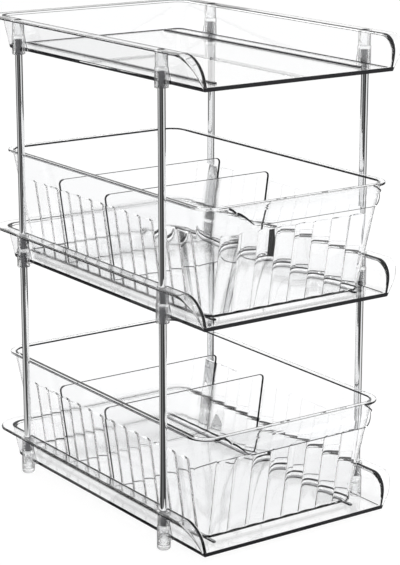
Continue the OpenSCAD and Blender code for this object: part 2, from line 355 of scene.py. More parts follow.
def shared_scuffs() -> bpy.types.NodeTree:
    """The fine scuffs and the slow waviness that every moulded or polished surface has.

    Returns:
        A node group with the inputs Vector, Wave Size, Scuff Size and Scuffs, and the outputs Scuff Mask and Height.
    """
    name = "surface_scuffs"
    if name in bpy.data.node_groups:
        return bpy.data.node_groups[name]
    group = bpy.data.node_groups.new(name, "ShaderNodeTree")
    sockets = (
        ("Vector", "INPUT", "NodeSocketVector"),
        ("Wave Scale", "INPUT", "NodeSocketFloat"),
        ("Scuff Scale", "INPUT", "NodeSocketFloat"),
        ("Scuffs", "INPUT", "NodeSocketFloat"),
        ("Scuff Mask", "OUTPUT", "NodeSocketFloat"),
        ("Height", "OUTPUT", "NodeSocketFloat"),
    )
    for label, way, kind in sockets:
        group.interface.new_socket(name=label, in_out=way, socket_type=kind)
    nodes, links = group.nodes, group.links
    start = nodes.new("NodeGroupInput")
    end = nodes.new("NodeGroupOutput")
    wave = nodes.new("ShaderNodeTexNoise")
    wave.inputs["Detail"].default_value = 1.0
    scuff = nodes.new("ShaderNodeTexNoise")
    scuff.inputs["Detail"].default_value = 5.0
    scuff.inputs["Roughness"].default_value = 0.65
    peaks = nodes.new("ShaderNodeMapRange")
    peaks.inputs["From Min"].default_value = 0.56
    peaks.inputs["From Max"].default_value = 0.78
    amount = nodes.new("ShaderNodeMath")
    amount.operation = "MULTIPLY"
    links.new(start.outputs["Vector"], wave.inputs["Vector"])
    links.new(start.outputs["Wave Scale"], wave.inputs["Scale"])
    links.new(start.outputs["Vector"], scuff.inputs["Vector"])
    links.new(start.outputs["Scuff Scale"], scuff.inputs["Scale"])
    links.new(scuff.outputs["Fac"], peaks.inputs["Value"])
    links.new(peaks.outputs["Result"], amount.inputs[0])
    links.new(start.outputs["Scuffs"], amount.inputs[1])
    links.new(amount.outputs["Value"], end.inputs["Scuff Mask"])
    links.new(wave.outputs["Fac"], end.inputs["Height"])
    return group


@dataclass(frozen=True)
class Finish:
    """What one material needs: its name, its plain values, the scuffs on it and, for some, a painted shade at grazing
    angles.
    """

    name: str
    colour: tuple[float, float, float]
    roughness: float
    scuffed_roughness: float
    metallic: float = 0.0
    transmission: float = 0.0
    alpha: float = 1.0
    ior: float = 1.5
    specular: float = 0.5
    coat: float = 0.0
    # Colour of the painted shade that the base colour turns to where the surface turns away from the view
    painted_grazing_shade: tuple[float, float, float] | None = None
    wave_scale: float = 18.0
    wave_depth: float = 0.0
    scuff_scale: float = 260.0
    scuffs: float = 1.0

    def material(self) -> bpy.types.Material:
        """Makes the material, or finds it if it is made."""
        if self.name in bpy.data.materials:
            return bpy.data.materials[self.name]
        made = bpy.data.materials.new(self.name)
        made.use_nodes = True
        nodes, links = made.node_tree.nodes, made.node_tree.links
        shader = nodes["Principled BSDF"]
        shader.inputs["Base Color"].default_value = (*self.colour, 1.0)
        shader.inputs["Metallic"].default_value = self.metallic
        shader.inputs["Transmission Weight"].default_value = self.transmission
        shader.inputs["IOR"].default_value = self.ior
        shader.inputs["Alpha"].default_value = self.alpha
        shader.inputs["Specular IOR Level"].default_value = self.specular
        shader.inputs["Coat Weight"].default_value = self.coat
        # Painted shade: the base colour darkens at grazing angles
        if self.painted_grazing_shade:
            links.new(self.painted_facing_shade(made.node_tree), shader.inputs["Base Color"])
        place = nodes.new("ShaderNodeTexCoord")
        scuffs = nodes.new("ShaderNodeGroup")
        scuffs.node_tree = shared_scuffs()
        scuffs.inputs["Wave Scale"].default_value = self.wave_scale
        scuffs.inputs["Scuff Scale"].default_value = self.scuff_scale
        scuffs.inputs["Scuffs"].default_value = self.scuffs
        rough = nodes.new("ShaderNodeMapRange")
        rough.inputs["To Min"].default_value = self.roughness
        rough.inputs["To Max"].default_value = self.scuffed_roughness
        links.new(place.outputs["Object"], scuffs.inputs["Vector"])
        links.new(scuffs.outputs["Scuff Mask"], rough.inputs["Value"])
        links.new(rough.outputs["Result"], shader.inputs["Roughness"])
        if self.wave_depth:
            bump = nodes.new("ShaderNodeBump")
            bump.inputs["Distance"].default_value = self.wave_depth
            links.new(scuffs.outputs["Height"], bump.inputs["Height"])
            links.new(bump.outputs["Normal"], shader.inputs["Normal"])
        return made

    def painted_facing_shade(self, tree: bpy.types.NodeTree) -> bpy.types.NodeSocket:
        """The glassy colour with painted shade, which goes dark where the surface of a thick round wall turns away.

        Args:
            tree: the material's node tree.

        Returns:
            The socket with the colour.
        """
        facing = tree.nodes.new("ShaderNodeLayerWeight")
        share = tree.nodes.new("ShaderNodeMapRange")
        share.interpolation_type = "SMOOTHSTEP"
        share.inputs["From Min"].default_value = 0.3
        share.inputs["From Max"].default_value = 0.65
        mix = tree.nodes.new("ShaderNodeMix")
        mix.data_type = "RGBA"
        mix.inputs["A"].default_value = (*self.colour, 1.0)
        mix.inputs["B"].default_value = (*self.painted_grazing_shade, 1.0)
        tree.links.new(facing.outputs["Facing"], share.inputs["Value"])
        tree.links.new(share.outputs["Result"], mix.inputs["Factor"])
        return mix.outputs["Result"]


CLEAR = Finish("clear_plastic", (0.99, 0.992, 0.995), 0.0, 0.04, transmission=1.0, ior=1.49)
# Bends light less than the plain walls do, as the soft waves of the real reeds do
REEDED = Finish("reeded_clear_plastic", (0.99, 0.992, 0.995), 0.0, 0.04, transmission=1.0, ior=1.12, coat=0.3)
THIN = Finish("thin_clear_plastic", (0.985, 0.988, 0.992), 0.0, 0.04, transmission=1.0, alpha=0.25, ior=1.03, coat=1.0)
# Painted shade: dark lines on the edges of the clear plastic, where bent and trapped light makes them look dark
EDGE = Finish("plastic_edge", (0.02, 0.02, 0.022), 0.35, 0.5, ior=1.49, specular=0.1)
# Painted shade: grey, half-clear lines on edges of the clear plastic
PAINTED_GREY_EDGE = Finish("plastic_soft_edge", (0.25, 0.255, 0.265), 0.08, 0.2, transmission=0.8, alpha=0.75, ior=1.49)
# Clear plastic with painted shade: its colour goes dark at grazing angles on thick round walls
ROUND = Finish(
    "thick_round_plastic", (0.95, 0.955, 0.96), 0.0, 0.04, transmission=1.0, alpha=0.6, ior=1.49, painted_grazing_shade=(0.04, 0.04, 0.045)
)
CHROME = Finish("chrome", (0.82, 0.825, 0.83), 0.03, 0.1, metallic=1.0, scuff_scale=420.0)
# Painted shade on the chrome where a socket covers the rod
SHADED_CHROME = Finish("chrome_in_socket", (0.12, 0.12, 0.125), 0.15, 0.3, metallic=1.0, scuff_scale=420.0)


def nowhere(centre: Vector, normal: Vector) -> bool:
    """A test that no face passes."""
    return False


def everywhere(centre: Vector, normal: Vector) -> bool:
    """A test that every face passes."""
    return True


def even_out(piece: bpy.types.Object) -> None:
    """Lets broad faces set the shading where they meet a rounding, so that flat walls don't bend light."""
    activate(piece)
    change = piece.modifiers.new("even_shading", "WEIGHTED_NORMAL")
    change.mode = "FACE_AREA"
    change.keep_sharp = True
    bpy.ops.object.modifier_apply(modifier=change.name)


def dress(
    piece: bpy.types.Object,
    plastic: Finish,
    soft: Test = nowhere,
    dark: Test = nowhere,
    thick: Test = nowhere,
) -> None:
    """Gives a clear piece its plastic, and the faces that pass a test a painted shade.

    Args:
        piece: the piece, in object mode.
        plastic: the finish of its walls.
        soft: says of a face, by its centre and normal, whether it gets painted shade as a grey line.
        dark: says the same for a dark line of painted shade.
        thick: says the same for the wall of a thick round form, whose colour has painted shade at grazing angles.
    """
    piece.data.materials.clear()
    for finish in (plastic, ROUND, PAINTED_GREY_EDGE, EDGE):
        piece.data.materials.append(finish.material())
    edit(piece)
    for number, test in enumerate((everywhere, thick, soft, dark)):
        if pick_faces(piece, test):
            piece.active_material_index = number
            bpy.ops.object.material_slot_assign()
    leave()
    even_out(piece)


def score(piece: bpy.types.Object, place: Place, normal: Place) -> None:
    """Cuts a line round a piece where a plane meets it, so that a narrow band can be picked."""
    edit(piece)
    bpy.ops.mesh.bisect(plane_co=place, plane_no=normal, use_fill=False, threshold=NEAR)
    leave()


@dataclass
class Tray:
    """One clear tray: leaning walls with a flat rim, an open front, a floor with rails, and four sockets."""

    height: float = 0.027
    wall: float = 0.0022
    floor: float = 0.0024
    rim_width: float = 0.012
    rim_thick: float = 0.0018
    draft: float = radians(12)
    corner: float = 0.024
    sweep: float = 0.018
    bead_height: float = 0.0008
    bead_depth: float = 0.0026
    rail_height: float = 0.0012
    rail_width: float = 0.003
    rail_half_gap: float = 0.0685
    rail_front: float = 0.015
    rail_back: float = 0.020
    socket_radius: float = 0.0049
    sleeve_radius: float = 0.0054
    socket_depth: float = 0.013
    web: float = 0.003
    sleeve_depth: float = 0.0124
    hole_radius: float = 0.00308
    gusset: float = 0.0016
    rounding: float = 0.0005
    # Heights of the bands painted dark as shade at the tray's foot and where the walls meet the floor
    foot_line: float = 0.0017
    floor_line: float = 0.0006
    nodes: tuple[str, ...] = ("top_tray", "middle_tray", "bottom_tray")
    model_node: str = "top_tray"
    half: float = field(init=False)
    front: float = field(init=False)
    back: float = field(init=False)
    rods: list[tuple[float, float]] = field(init=False)

    def __post_init__(self) -> None:
        """Takes the tray's plan and the rods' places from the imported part."""
        low, high = size_of(self.model_node)
        self.half, self.front, self.back = high.x, low.y, high.y
        self.rods = []
        for end in End:
            a, b = size_of(f"upper_rod_{end.value}_left")
            self.rods.append(((a.x + b.x) / 2, (a.y + b.y) / 2))

    @property
    def lean(self) -> float:
        """How far a wall leans inwards over its height."""
        return self.height * tan(self.draft)

    @property
    def wall_across(self) -> float:
        """The wall's thickness measured level."""
        return self.wall / cos(self.draft)

    def outer_face(self, depth: float) -> float:
        """The wall's outer face, inwards from the rim's outer edge, at a depth below the rim's top."""
        return self.rim_width - self.wall_across + depth * tan(self.draft)

    def rim_outer(self, depth: float) -> float:
        """X of the rim's outer edge on the left, which runs in to the wall's foot as the sweep goes down."""
        return -self.half + self.outer_face(self.height) * depth / self.height

    def rim_inner(self, depth: float) -> float:
        """X of the rim's inner edge on the left, in line with the wall's inner face."""
        return -self.half + self.rim_width + depth * tan(self.draft)

    def narrow(self, old: float, new: float) -> None:
        """Fits the rim's section, picked at one depth, to the edges that it has at another."""
        old_width = self.rim_inner(old) - self.rim_outer(old)
        new_width = self.rim_inner(new) - self.rim_outer(new)
        bpy.ops.transform.resize(value=(new_width / old_width, 1, 1), center_override=(self.rim_inner(old), 0, 0))
        shift((self.rim_inner(new) - self.rim_inner(old), 0, 0))

    def round_back(self, start: float) -> None:
        """Leads the picked section back along the side, round the back corner and past the middle."""
        push((0, self.back - self.corner - start, 0))
        centre = (-self.half + self.corner, self.back - self.corner, 0)
        bpy.ops.mesh.spin(steps=16, angle=pi / 2, center=centre, axis=Z_AXIS)
        push((self.half - self.corner + 5 * FUSE, 0, 0))
        bpy.ops.mesh.select_all(action="SELECT")
        bpy.ops.mesh.normals_make_consistent(inside=False)

    def rim(self) -> bpy.types.Object:
        """Draws the rim's section at the foot of the sweep and leads it up, back and round to the middle."""
        deselect()
        foot = self.height - FUSE
        outer, inner = self.rim_outer(foot), self.rim_inner(foot)
        place = ((outer + inner) / 2, self.front + self.rim_thick / 2, -foot)
        bpy.ops.mesh.primitive_plane_add(size=1.0, location=place)
        obj = bpy.context.object
        obj.name = "tray_rim"
        obj.scale = (inner - outer, self.rim_thick, 1)
        bpy.ops.object.transform_apply(location=True, rotation=True, scale=True)
        edit(obj)
        pick_points(obj, lambda p: p.x > inner - NEAR and p.y > self.front + NEAR)
        shift((self.rim_thick * tan(self.draft) + FUSE / 8, 0, 0))
        bpy.ops.mesh.select_all(action="SELECT")
        bpy.ops.mesh.bevel(offset=self.rounding, offset_type="OFFSET", segments=3, affect="VERTICES")
        bpy.ops.mesh.select_all(action="SELECT")
        push((0, 0, foot - self.sweep))
        self.narrow(foot, self.sweep)
        start = self.front + self.sweep
        steps = 20
        for i in range(steps):
            push((0, 0, 0))
            bpy.ops.transform.rotate(
                value=pi / 2 / steps, orient_axis="X", center_override=(0, start, -self.sweep)
            )
            old, new = (self.sweep * (1 - sin(pi / 2 * n / steps)) for n in (i, i + 1))
            self.narrow(old, new)
        self.round_back(start)
        leave()
        return obj

    def walls(self) -> bpy.types.Object:
        """Draws the leaning wall's section, leads it round to the middle and cuts the sweep out of its front."""
        deselect()
        front = self.front + self.rim_thick * 0.4
        top, bottom = self.rim_thick * 0.4, self.height - FUSE
        low, high = self.outer_face(top), self.outer_face(top) + self.wall_across
        place = (-self.half + (low + high) / 2, front, -top)
        bpy.ops.mesh.primitive_plane_add(size=1.0, location=place, rotation=(pi / 2, 0, 0))
        obj = bpy.context.object
        obj.name = "tray_walls"
        obj.scale = (high - low, 0, 1)
        bpy.ops.object.transform_apply(location=True, rotation=True, scale=True)
        edit(obj)
        pick_points(obj, lambda p: True)
        bpy.ops.mesh.remove_doubles(threshold=NEAR)
        bpy.ops.mesh.select_all(action="SELECT")
        push(((bottom - top) * tan(self.draft), 0, top - bottom))
        bpy.ops.mesh.select_all(action="SELECT")
        push((0, FUSE, 0))
        self.round_back(front + FUSE)
        leave()
        combine(obj, self.sweep_cutter(), Join.CUT)
        return obj

    def sweep_cutter(self) -> bpy.types.Object:
        """The corner in front of and above the sweep, which the side wall loses under its rim."""
        reach = self.lean + self.rim_width + 4 * FUSE
        start = self.front + self.sweep
        radius = self.sweep - self.rim_thick / 2
        tool = block(
            "sweep_cutter",
            (-self.half - FUSE, self.front - FUSE, -self.sweep),
            (-self.half + reach, start, FUSE),
        )
        deselect()
        middle = (-self.half + reach / 2, start, -self.sweep)
        bpy.ops.mesh.primitive_cylinder_add(
            vertices=96, radius=radius, depth=2 * reach, location=middle, rotation=(0, pi / 2, 0)
        )
        disc = bpy.context.object
        bpy.ops.object.transform_apply(location=True, rotation=True, scale=True)
        combine(tool, disc, Join.CUT)
        return tool

    def floor_plate(self) -> bpy.types.Object:
        """The floor's left half with its rounded back corner and the bead along its front edge."""
        inset = self.outer_face(self.height) + FUSE / 4
        front = self.front - FUSE / 8
        plate = block(
            "tray_floor",
            (-self.half + inset, front, -self.height),
            (5 * FUSE, self.back - inset, -self.height + self.floor),
        )
        corner = self.corner - inset
        soften(plate, lambda m, d: abs(d.z) > 0.9 and m.x < -self.half / 2 and m.y > 0, corner, 8)
        edit(plate)
        line = front + self.bead_depth
        bpy.ops.mesh.bisect(plane_co=(0, line, 0), plane_no=Y_AXIS)
        top = -self.height + self.floor
        pick_faces(plate, lambda c, n: n.z > 0.9 and c.y < line and c.z > top - NEAR)
        push((0, 0, self.bead_height))
        leave()
        bead = top + self.bead_height
        soften(plate, lambda m, d: abs(d.x) > 0.9 and m.z > bead - NEAR, self.bead_height / 2, 3)
        low_front = lambda m, d: abs(d.x) > 0.9 and m.z < -self.height + NEAR and m.y < front + NEAR
        soften(plate, low_front, self.rounding, 2)
        return plate

    def rail(self) -> bpy.types.Object:
        """One low rail with round ends, on the left."""
        top = -self.height + self.floor
        x = -self.rail_half_gap
        rail = block(
            "tray_rail",
            (x - self.rail_width / 2, self.front + self.rail_front, top - FUSE),
            (x + self.rail_width / 2, self.back - self.rail_back, top + self.rail_height),
        )
        soften(rail, lambda m, d: abs(d.z) > 0.9, self.rail_width * 0.49, 6)
        soften(rail, lambda m, d: abs(d.z) < 0.1 and m.z > top + FUSE, self.rail_height / 3, 2)
        return rail

    def socket(self, place: tuple[float, float]) -> list[bpy.types.Object]:
        """The upper tube, the sleeve and the gusset of one socket on the left.

        Args:
            place: the rod's axis in plan.

        Returns:
            The three forms, for fusing.
        """
        x, y = place
        deep = self.socket_depth + self.web
        top = -self.rim_thick / 2
        tube = bar("socket_tube", self.socket_radius, (x, y, -deep), deep + top)
        length = self.sleeve_depth + self.web
        sleeve = bar("socket_sleeve", self.sleeve_radius, (x, y, -self.socket_depth - length), length)
        soften(sleeve, lambda m, d: abs(d.z) < 0.1, self.rounding * 0.8, 2)
        foot = self.height - FUSE / 2
        far = -self.half + self.outer_face(foot) + self.wall_across / 2
        gusset = block("socket_gusset", (x, y - self.gusset / 2, -foot), (far, y + self.gusset / 2, top))
        edit(gusset)
        pick_points(gusset, lambda p: p.x > x + NEAR and p.z > top - NEAR)
        shift((-(foot + top) * tan(self.draft), 0, 0))
        leave()
        return [tube, sleeve, gusset]

    def holes(self, place: tuple[float, float]) -> list[bpy.types.Object]:
        """The upper and the lower hole of one socket, for cutting."""
        x, y = place
        foot = -self.socket_depth - self.web - self.sleeve_depth
        upper = bar("upper_hole", self.hole_radius, (x, y, -self.socket_depth), self.socket_depth + FUSE)
        lower = bar("lower_hole", self.hole_radius, (x, y, foot - FUSE), self.sleeve_depth + FUSE)
        return [upper, lower]

    def model(self) -> bpy.types.Object:
        """Builds one whole tray with its rim's top at z = 0."""
        tray = self.rim()
        combine(tray, self.walls(), Join.FUSE)
        combine(tray, self.floor_plate(), Join.FUSE)
        combine(tray, self.rail(), Join.FUSE)
        for place in self.rods:
            for form in self.socket(place):
                combine(tray, form, Join.FUSE)
            for hole in self.holes(place):
                combine(tray, hole, Join.CUT)
        mirror(tray)
        smooth(tray)
        return tray

    def inwards(self, c: Vector) -> tuple[float, Vector]:
        """Distance of a place from the rim's outer edge, and the level direction that points outwards there."""
        across, along = abs(c.x) - (self.half - self.corner), c.y - (self.back - self.corner)
        if across > 0 and along > 0:
            out = Vector((across, along, 0))
            distance = self.corner - out.length
        elif self.half - abs(c.x) < self.back - c.y:
            out, distance = Vector((1, 0, 0)), self.half - abs(c.x)
        else:
            out, distance = Vector((0, 1, 0)), self.back - c.y
        if c.x < 0:
            out.x = -out.x
        return distance, out.normalized()

    def near_socket(self, c: Vector, reach: float) -> bool:
        """Whether a place lies within reach of a rod's axis."""
        return any((abs(c.x) - abs(x)) ** 2 + (c.y - y) ** 2 < reach**2 for x, y in self.rods)

    def is_painted_dark_line(self, c: Vector, n: Vector) -> bool:
        """Whether a face gets painted shade as a dark line at an edge, on the tray with its rim at z = 0."""
        if self.near_socket(c, self.sleeve_radius + NEAR) and c.z < -self.rim_thick:
            return False
        distance, out = self.inwards(c)
        turned = -n.dot(out)
        outer = distance < self.rounding and abs(n.z) < 0.8
        lip = self.rim_width - c.z * tan(self.draft)
        inner = lip - 0.003 < distance < lip + NEAR and 0.02 < turned < 0.95
        plate_top = -self.height + self.floor
        front = n.y < -0.3 and c.y < self.front + self.bead_depth and c.z < plate_top + 0.001
        foot = c.z < -self.height + self.foot_line and abs(n.z) < 0.9 and turned < 0
        corner = abs(turned - cos(self.draft)) < 0.05 and plate_top < c.z < plate_top + self.floor_line
        rail = abs(n.z) < 0.6 and abs(abs(c.x) - self.rail_half_gap) < self.rail_width and c.z > plate_top
        return outer or inner or front or (foot and distance > self.rim_width) or corner or (rail and c.z < -self.height / 2)

    def is_painted_grey_line(self, c: Vector, n: Vector) -> bool:
        """Whether a face gets painted shade as a grey line on a rail's top, on the tray with its rim at z = 0."""
        top = -self.height + self.floor + self.rail_height
        return n.z > 0.6 and abs(c.z - top) < self.rail_height / 2 and abs(abs(c.x) - self.rail_half_gap) < self.rail_width

    def is_thick(self, c: Vector, n: Vector) -> bool:
        """Whether a face is on a socket's tube or sleeve, which get painted shade at grazing angles, on the tray with
        its rim at z = 0.
        """
        return self.near_socket(c, self.sleeve_radius + NEAR) and c.z < -self.rim_thick

    def build(self) -> None:
        """Models the tray once, copies it to each tier and dresses it."""
        model = self.model()
        plate_top = self.floor - self.height
        # Lines that bound the bands of painted shade at the foot and along the floor
        for z in (self.foot_line - self.height, plate_top + self.floor_line):
            score(model, (0, 0, z), Z_AXIS)
        dress(model, CLEAR, self.is_painted_grey_line, self.is_painted_dark_line, self.is_thick)
        for node in self.nodes:
            _, high = size_of(node)
            stand_in(copy_to(model, f"{node}_moulding", (0, 0, high.z)), node)
        discard(model)


@dataclass
class Rod:
    """One chrome rod with chamfered ends, and painted shade where the sockets cover it."""

    chamfer: float = 0.0006
    lower_cover: float = 0.013
    upper_cover: float = 0.0124
    sides: int = 64

    def build(self) -> None:
        """Models a rod once for each node of the two tiers."""
        for tier in ("upper", "lower"):
            for end in End:
                for side in Side:
                    self.place(f"{tier}_rod_{end.value}_{side.name.lower()}")

    def place(self, node: str) -> None:
        """Builds and dresses the rod that stands for one node."""
        low, high = size_of(node)
        middle = (low + high) / 2
        rod = bar(f"{node}_chrome", (high.x - low.x) / 2, (middle.x, middle.y, low.z), high.z - low.z, self.sides)
        soften(rod, lambda m, d: abs(d.z) < 0.1, self.chamfer, 2)
        lines = low.z + self.lower_cover, high.z - self.upper_cover
        for z in lines:
            score(rod, (0, 0, z), Z_AXIS)
        smooth(rod)
        for finish in (CHROME, SHADED_CHROME):
            rod.data.materials.append(finish.material())
        # The faces that the sockets cover get the painted shade
        edit(rod)
        pick_faces(rod, lambda c, n: not lines[0] < c.z < lines[1])
        rod.active_material_index = 1
        bpy.ops.object.material_slot_assign()
        leave()
        stand_in(rod, node)


@dataclass
class Foot:
    """One clear foot: a disc with a round lower edge and a plug that goes up into the sleeve."""

    height: float = 0.0042
    lower_round: float = 0.002
    upper_round: float = 0.0003
    plug_radius: float = 0.003

    def build(self) -> None:
        """Builds the four feet."""
        for end in End:
            for side in Side:
                self.place(f"foot_{end.value}_{side.name.lower()}")

    def place(self, node: str) -> None:
        """Builds and dresses the foot that stands for one node."""
        low, high = size_of(node)
        middle = (low + high) / 2
        radius = (high.x - low.x) / 2
        foot = bar(f"{node}_moulding", radius, (middle.x, middle.y, low.z), self.height)
        edit(foot)
        top = low.z + self.height
        pick_faces(foot, lambda c, n: n.z > 0.9)
        bpy.ops.mesh.inset(thickness=radius - self.plug_radius, depth=0)
        push((0, 0, high.z - top))
        leave()
        soften(foot, lambda m, d: m.z < low.z + NEAR, self.lower_round, 6)
        soften(foot, lambda m, d: m.z > high.z - NEAR, self.upper_round, 2)
        smooth(foot)
        # The whole foot gets the clear plastic with painted shade at grazing angles
        dress(foot, THIN, thick=everywhere)
        stand_in(foot, node)


@dataclass
class Ring:
    """One level outline of a bin: a rectangle with round corners."""

    width: float
    depth: float
    corner: float
    z: float

    def holds(self, p: Vector) -> bool:
        """Whether a point lies on the outline, or on a corner of the rectangle before it is rounded."""
        across, along = abs(p.x) - self.width / 2, abs(p.y) - self.depth / 2
        square = max(abs(across), abs(along)) < NEAR
        out = Vector((max(across + self.corner, 0), max(along + self.corner, 0))).length
        inner = min(max(across, along) + self.corner, 0)
        return abs(p.z - self.z) < NEAR and (square or abs(out + inner - self.corner) < NEAR)


@dataclass
class Bin:
    """One clear bin: a tapered tub with a flat lip, reeded walls and a curved pull."""

    wall: float = 0.0018
    floor: float = 0.002
    lip: float = 0.0035
    lip_thick: float = 0.002
    corner: float = 0.018
    floor_corner: float = 0.011
    side_taper: float = 0.0125
    end_taper: float = 0.0146
    heel: float = 0.003
    inner_heel: float = 0.0015
    lip_round: float = 0.0005
    # Depths of the bands painted dark as shade below the lip's top and at the pull's root
    inner_line: float = 0.0014
    root_line: float = 0.0007
    reed_pitch: float = 0.0176
    reed_rise: float = 0.0026
    reed_base: float = 0.0003
    reed_top: float = 0.066
    side_reeds: int = 14
    end_reeds: int = 8
    pull_top: float = 0.069
    pull_bottom: float = 0.055
    pull_reach: float = 0.0177
    pull_drop: float = 0.0123
    pull_thick: float = 0.002
    corner_steps: int = 12
    model_node: str = "bottom_bin"
    nodes: tuple[str, ...] = ("middle_bin", "bottom_bin")
    width: float = field(init=False)
    depth: float = field(init=False)
    height: float = field(init=False)

    def __post_init__(self) -> None:
        """Takes the bin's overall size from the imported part."""
        low, high = size_of(self.model_node)
        self.width = high.x - low.x
        self.depth = high.y - low.y - self.pull_reach
        self.height = high.z - low.z

    @property
    def floor_width(self) -> float:
        """Width of the tub where it meets the ground plane of its underside."""
        return self.width - 2 * (self.lip + self.side_taper)

    @property
    def floor_depth(self) -> float:
        """Depth of the tub where it meets the ground plane of its underside."""
        return self.depth - 2 * (self.lip + self.end_taper)

    def level(self, z: float, inset: float) -> Ring:
        """The tub's outline at height z, moved inwards by inset."""
        share = z / self.height
        wall_corner = self.corner - self.lip
        return Ring(
            self.floor_width + 2 * self.side_taper * share - 2 * inset,
            self.floor_depth + 2 * self.end_taper * share - 2 * inset,
            self.floor_corner + (wall_corner - self.floor_corner) * share - inset,
            z,
        )

    def rings(self) -> list[Ring]:
        """The outlines from the underside up the outside, over the lip and down the inside to the floor."""
        steps = 4
        out = []
        for i in range(steps + 1):
            a = pi / 2 * i / steps
            out.append(self.level(self.heel * (1 - cos(a)), self.heel * (1 - sin(a))))
        under = self.height - self.lip_thick
        out.append(self.level(under - FLAT_STEP, 0))
        r = self.lip_round
        full = Ring(self.width, self.depth, self.corner, 0)
        for i in range(3):
            a = pi / 4 * i
            inset = r * (1 - sin(a))
            out.append(self.inset(full, inset, under + r * (1 - cos(a))))
        for i in range(3):
            a = pi / 4 * i
            inset = r * (1 - cos(a))
            out.append(self.inset(full, inset, self.height - r + r * sin(a)))
        for i in range(3):
            a = pi / 4 * i
            drop = r * (1 - cos(a)) + FLAT_STEP
            out.append(self.inset(self.level(self.height - drop, self.wall), r * (sin(a) - 1), self.height - drop))
        h = self.inner_heel
        for i in range(steps + 1):
            a = pi / 2 * i / steps
            z = self.floor + h * (1 - sin(a))
            out.append(self.level(z, self.wall + h * (1 - cos(a))))
        return out

    def inset(self, ring: Ring, by: float, z: float) -> Ring:
        """A ring moved inwards by a distance and set at height z."""
        return Ring(ring.width - 2 * by, ring.depth - 2 * by, ring.corner - by, z)

    def tub(self) -> bpy.types.Object:
        """Lays out every ring of the tub, bridges each to the next and fills the underside and the floor."""
        rings = self.rings()
        deselect()
        bpy.ops.mesh.primitive_plane_add(size=1.0, location=(0, 0, 0))
        obj = bpy.context.object
        obj.name = "bin_tub"
        edit(obj)
        for number, ring in enumerate(rings):
            if number:
                bpy.ops.mesh.select_all(action="DESELECT")
                bpy.ops.mesh.primitive_plane_add(size=1.0, location=(0, 0, 0))
            bpy.ops.transform.resize(value=(ring.width, ring.depth, 1), center_override=(0, 0, 0))
            shift((0, 0, ring.z))
            bpy.ops.mesh.delete(type="ONLY_FACE")
            pick_points(obj, ring.holds)
            bpy.ops.mesh.bevel(
                offset=ring.corner, offset_type="OFFSET", segments=self.corner_steps, affect="VERTICES"
            )
            if number:
                last = rings[number - 1]
                pick_points(obj, lambda p: ring.holds(p) or last.holds(p))
                bpy.ops.mesh.bridge_edge_loops()
        bpy.ops.mesh.select_all(action="DESELECT")
        bpy.ops.mesh.select_non_manifold()
        bpy.ops.mesh.fill_holes(sides=0)
        bpy.ops.mesh.select_all(action="SELECT")
        bpy.ops.mesh.normals_make_consistent(inside=False)
        leave()
        return obj

    def reed_row(self, count: int) -> bpy.types.Object:
        """An upright row of reeds with its root plane on the XZ plane and its backs towards -Y.

        Args:
            count: how many reeds stand side by side.

        Returns:
            The row, from the height of half the floor up to the band's top.
        """
        back = self.reed_rise - self.reed_base
        radius = (self.reed_pitch**2 / 4 + back**2) / (2 * back)
        deselect()
        bpy.ops.mesh.primitive_circle_add(vertices=192, radius=radius, location=(0, 0, 0))
        obj = bpy.context.object
        obj.name = "reed_row"
        edit(obj)
        limit = self.reed_pitch / 2
        bpy.ops.mesh.bisect(plane_co=(limit, 0, 0), plane_no=X_AXIS, clear_outer=True)
        bpy.ops.mesh.select_all(action="SELECT")
        bpy.ops.mesh.bisect(plane_co=(-limit, 0, 0), plane_no=X_AXIS, clear_inner=True)
        pick_points(obj, lambda p: p.y < 0)
        bpy.ops.mesh.delete(type="VERT")
        bpy.ops.mesh.select_all(action="SELECT")
        shift((-limit * (count - 1), self.reed_rise - radius, 0))
        for _ in range(count - 1):
            bpy.ops.mesh.duplicate_move(TRANSFORM_OT_translate={"value": (self.reed_pitch, 0, 0)})
        bpy.ops.mesh.select_all(action="SELECT")
        bpy.ops.mesh.remove_doubles(threshold=NEAR)
        bpy.ops.mesh.select_all(action="SELECT")
        root = -self.wall / 2
        push((0, -self.reed_rise * 2, 0))
        bpy.ops.transform.resize(value=(1, 0, 1), center_override=(0, root, 0))
        bpy.ops.mesh.select_all(action="SELECT")
        push((0, 0, self.reed_top))
        bpy.ops.mesh.select_all(action="SELECT")
        bpy.ops.mesh.normals_make_consistent(inside=False)
        leave()
        return obj

    def reed_rows(self) -> list[bpy.types.Object]:
        """The four rows of reeds, leaning with their walls."""
        rows = []
        for turn in range(4):
            sideways = turn % 2 == 1
            count = self.side_reeds if sideways else self.end_reeds
            taper = self.side_taper if sideways else self.end_taper
            half = (self.floor_width if sideways else self.floor_depth) / 2
            row = self.reed_row(count)
            row.rotation_euler = (atan(taper / self.height), 0, 0)
            row.location = (0, -(half - self.wall), 0)
            bpy.ops.object.transform_apply(location=True, rotation=True, scale=True)
            edit(row)
            bpy.ops.mesh.bisect(
                plane_co=(0, 0, self.floor / 2), plane_no=Z_AXIS, clear_inner=True, use_fill=True
            )
            leave()
            row.rotation_euler = (0, 0, turn * pi / 2)
            bpy.ops.object.transform_apply(location=True, rotation=True, scale=True)
            rows.append(row)
        return rows

    def pull_half(self, share: float) -> float:
        """Half the pull's width at a share of the way down its S."""
        return self.pull_top + (self.pull_bottom - self.pull_top) * share

    def pull_rows(self) -> list[tuple[float, float, float]]:
        """Reach, drop and half width of each row of the pull, from the rim to its lower edge."""
        rows = []
        steps = 16
        start = acos(1 - self.pull_thick / self.pull_drop)
        for i in range(1, 5):
            a = start * i / 4
            rows.append((self.pull_reach * sin(a), self.pull_drop * (1 - cos(a)), self.pull_top))
        for i in range(1, steps + 1):
            t = i / steps
            drop = self.pull_drop * t * t * (3 - 2 * t) + self.pull_thick * (1 - t)
            a = acos(max(-1.0, 1 - drop / self.pull_drop))
            rows.append((self.pull_reach * sin(a), drop, self.pull_half(t)))
        return rows

